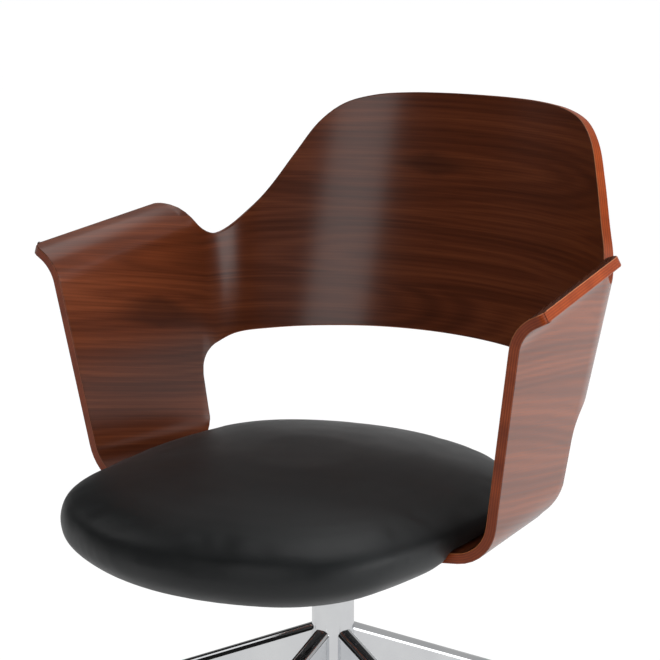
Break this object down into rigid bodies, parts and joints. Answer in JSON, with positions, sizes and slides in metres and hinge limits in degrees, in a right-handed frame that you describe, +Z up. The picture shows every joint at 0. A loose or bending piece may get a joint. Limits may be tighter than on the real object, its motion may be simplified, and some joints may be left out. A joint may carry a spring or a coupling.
{
  "type": "office chair",
  "caption": "Swivel office chair: moulded plywood shell with rolled arms, round leather seat pad, gas-lift column and chrome star base on twin-wheel casters.",
  "frame": {"origin": "on the floor, on the column's axis", "axes": "+Z up along the column, the sitter faces -Y, +X is at the sitter's left"},
  "size_m": [0.6698, 0.6367, 0.7994],
  "materials": {
    "walnut_veneer": "glossy clear lacquer over walnut veneer",
    "black_leather": "smooth black leather over foam",
    "plain_plywood": "raw birch plywood",
    "chrome": "polished chrome plate",
    "black_steel": "black powder coat",
    "zinc_steel": "zinc plated steel",
    "ground_steel": "ground steel",
    "black_plastic": "matte black plastic",
    "wheel_plastic": "hard black plastic",
    "bumper_rubber": "black rubber"
  },
  "bodies": {
    "base": {"column": "chrome", "guide_bush": "black_plastic", "thrust_bearing": "zinc_steel", "bearing_washer": "zinc_steel", "leg_1": "chrome", "leg_2": "chrome", "leg_3": "chrome", "leg_4": "chrome", "leg_5": "chrome", "caster_socket_1": "chrome", "caster_socket_2": "chrome", "caster_socket_3": "chrome", "caster_socket_4": "chrome", "caster_socket_5": "chrome"},
    "spindle": {"piston_rod": "ground_steel", "piston": "black_plastic", "lift_bumper": "bumper_rubber", "retaining_clip": "zinc_steel"},
    "seat": {"pressure_tube": "black_steel", "seat_plate": "black_steel", "plate_bolts": "zinc_steel", "bolt_washers": "zinc_steel", "bolt_nuts": "zinc_steel", "seat_board": "plain_plywood", "seat_cushion": "black_leather", "shell": "walnut_veneer", "lever_pin": "zinc_steel"},
    "lever": {"height_lever": "zinc_steel", "lever_grip": "black_plastic"},
    "valve": {"valve_button": "black_plastic"},
    "caster_1": {"caster_stem_1": "ground_steel", "caster_hood_1": "black_plastic", "caster_axle_1": "ground_steel"},
    "left_wheel_1": {"left_wheel_1": "wheel_plastic"},
    "right_wheel_1": {"right_wheel_1": "wheel_plastic"},
    "caster_2": {"caster_stem_2": "ground_steel", "caster_hood_2": "black_plastic", "caster_axle_2": "ground_steel"},
    "left_wheel_2": {"left_wheel_2": "wheel_plastic"},
    "right_wheel_2": {"right_wheel_2": "wheel_plastic"},
    "caster_3": {"caster_stem_3": "ground_steel", "caster_hood_3": "black_plastic", "caster_axle_3": "ground_steel"},
    "left_wheel_3": {"left_wheel_3": "wheel_plastic"},
    "right_wheel_3": {"right_wheel_3": "wheel_plastic"},
    "caster_4": {"caster_stem_4": "ground_steel", "caster_hood_4": "black_plastic", "caster_axle_4": "ground_steel"},
    "left_wheel_4": {"left_wheel_4": "wheel_plastic"},
    "right_wheel_4": {"right_wheel_4": "wheel_plastic"},
    "caster_5": {"caster_stem_5": "ground_steel", "caster_hood_5": "black_plastic", "caster_axle_5": "ground_steel"},
    "left_wheel_5": {"left_wheel_5": "wheel_plastic"},
    "right_wheel_5": {"right_wheel_5": "wheel_plastic"}
  },
  "joints": [
    {"name": "seat_swivel", "type": "hinge", "parent": "base", "child": "spindle", "pos_m": [0, 0, 0.07], "axis": [0, 0, 1], "continuous": true},
    {"name": "seat_lift", "type": "slide", "parent": "spindle", "child": "seat", "axis": [0, 0, 1], "range_m": [0, 0.13]},
    {"name": "lever_swing", "type": "hinge", "parent": "seat", "child": "lever", "pos_m": [-0.06, 0, 0.3365], "axis": [0, 1, 0], "range_deg": [0, 4.4]},
    {"name": "valve_press", "type": "slide", "parent": "seat", "child": "valve", "axis": [0, 0, -1], "range_m": [0, 0.005]},
    {"name": "caster_1_swivel", "type": "hinge", "parent": "base", "child": "caster_1", "pos_m": [0.00298, -0.28498, 0.07], "axis": [0, 0, 1], "continuous": true},
    {"name": "left_wheel_1_spin", "type": "hinge", "parent": "caster_1", "child": "left_wheel_1", "pos_m": [-0.01002, -0.26398, 0.027], "axis": [1, 0, 0], "continuous": true},
    {"name": "right_wheel_1_spin", "type": "hinge", "parent": "caster_1", "child": "right_wheel_1", "pos_m": [0.01598, -0.26398, 0.027], "axis": [1, 0, 0], "continuous": true},
    {"name": "caster_2_swivel", "type": "hinge", "parent": "base", "child": "caster_2", "pos_m": [0.27196, -0.08523, 0.07], "axis": [0, 0, 1], "continuous": true},
    {"name": "left_wheel_2_spin", "type": "hinge", "parent": "caster_2", "child": "left_wheel_2", "pos_m": [0.25896, -0.06423, 0.027], "axis": [1, 0, 0], "continuous": true},
    {"name": "right_wheel_2_spin", "type": "hinge", "parent": "caster_2", "child": "right_wheel_2", "pos_m": [0.28496, -0.06423, 0.027], "axis": [1, 0, 0], "continuous": true},
    {"name": "caster_3_swivel", "type": "hinge", "parent": "base", "child": "caster_3", "pos_m": [0.16509, 0.23231, 0.07], "axis": [0, 0, 1], "continuous": true},
    {"name": "left_wheel_3_spin", "type": "hinge", "parent": "caster_3", "child": "left_wheel_3", "pos_m": [0.1521, 0.25331, 0.027], "axis": [1, 0, 0], "continuous": true},
    {"name": "right_wheel_3_spin", "type": "hinge", "parent": "caster_3", "child": "right_wheel_3", "pos_m": [0.1781, 0.25331, 0.027], "axis": [1, 0, 0], "continuous": true},
    {"name": "caster_4_swivel", "type": "hinge", "parent": "base", "child": "caster_4", "pos_m": [-0.16992, 0.2288, 0.07], "axis": [0, 0, 1], "continuous": true},
    {"name": "left_wheel_4_spin", "type": "hinge", "parent": "caster_4", "child": "left_wheel_4", "pos_m": [-0.18292, 0.2498, 0.027], "axis": [1, 0, 0], "continuous": true},
    {"name": "right_wheel_4_spin", "type": "hinge", "parent": "caster_4", "child": "right_wheel_4", "pos_m": [-0.15692, 0.2498, 0.027], "axis": [1, 0, 0], "continuous": true},
    {"name": "caster_5_swivel", "type": "hinge", "parent": "base", "child": "caster_5", "pos_m": [-0.27011, -0.0909, 0.07], "axis": [0, 0, 1], "continuous": true},
    {"name": "left_wheel_5_spin", "type": "hinge", "parent": "caster_5", "child": "left_wheel_5", "pos_m": [-0.28311, -0.0699, 0.027], "axis": [1, 0, 0], "continuous": true},
    {"name": "right_wheel_5_spin", "type": "hinge", "parent": "caster_5", "child": "right_wheel_5", "pos_m": [-0.25711, -0.0699, 0.027], "axis": [1, 0, 0], "continuous": true}
  ],
  "couplings": [
    {"joint": "valve_press", "follows": "lever_swing", "m_per_rad": 0.062}
  ]
}
